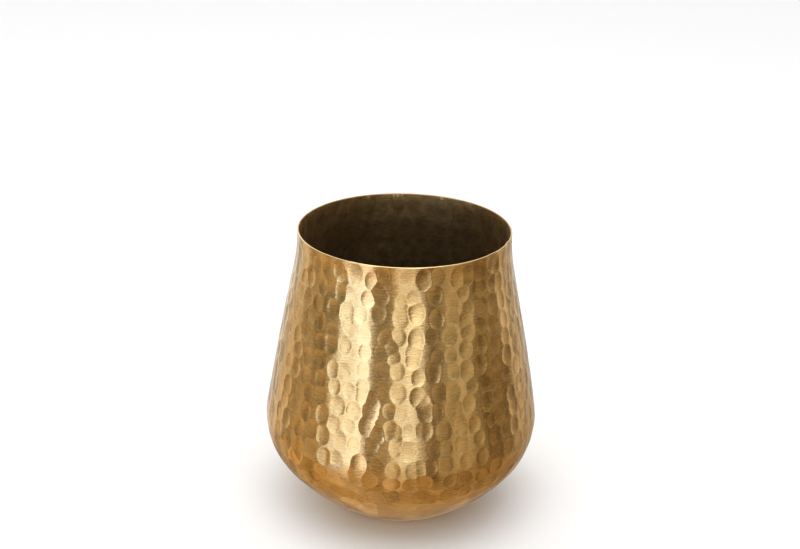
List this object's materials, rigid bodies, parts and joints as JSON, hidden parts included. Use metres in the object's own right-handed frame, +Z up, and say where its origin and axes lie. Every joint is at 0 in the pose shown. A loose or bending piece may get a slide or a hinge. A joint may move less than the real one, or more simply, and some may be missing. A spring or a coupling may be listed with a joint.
{
  "type": "planter pot",
  "caption": "Round planter pot in hammered brass, with a low wide belly, a narrower upright mouth and a plastic inner pot that lifts out.",
  "frame": {"origin": "centre of the plane that the foot pads stand on, under the middle of the pot", "axes": "+Z up along the pot's axis; +X to the right and +Y to the back; the pot is round, so X and Y are only set by the foot pads"},
  "size_m": [0.17, 0.17, 0.1812],
  "materials": {
    "hammered_brass": "satin, hammered",
    "braze": "satin",
    "grow_pot_plastic": "matt",
    "pad_rubber": "matt"
  },
  "bodies": {
    "brass_pot": {"upper_wall": "hammered_brass", "lower_bowl": "hammered_brass", "seam_braze": "braze", "foot_pad_1": "pad_rubber", "foot_pad_2": "pad_rubber", "foot_pad_3": "pad_rubber", "foot_pad_4": "pad_rubber"},
    "grow_pot": {"inner_pot": "grow_pot_plastic"}
  },
  "joints": [
    {"name": "inner_pot_lift", "type": "slide", "parent": "brass_pot", "child": "grow_pot", "axis": [0, 0, 1], "range_m": [0, 0.2]}
  ]
}
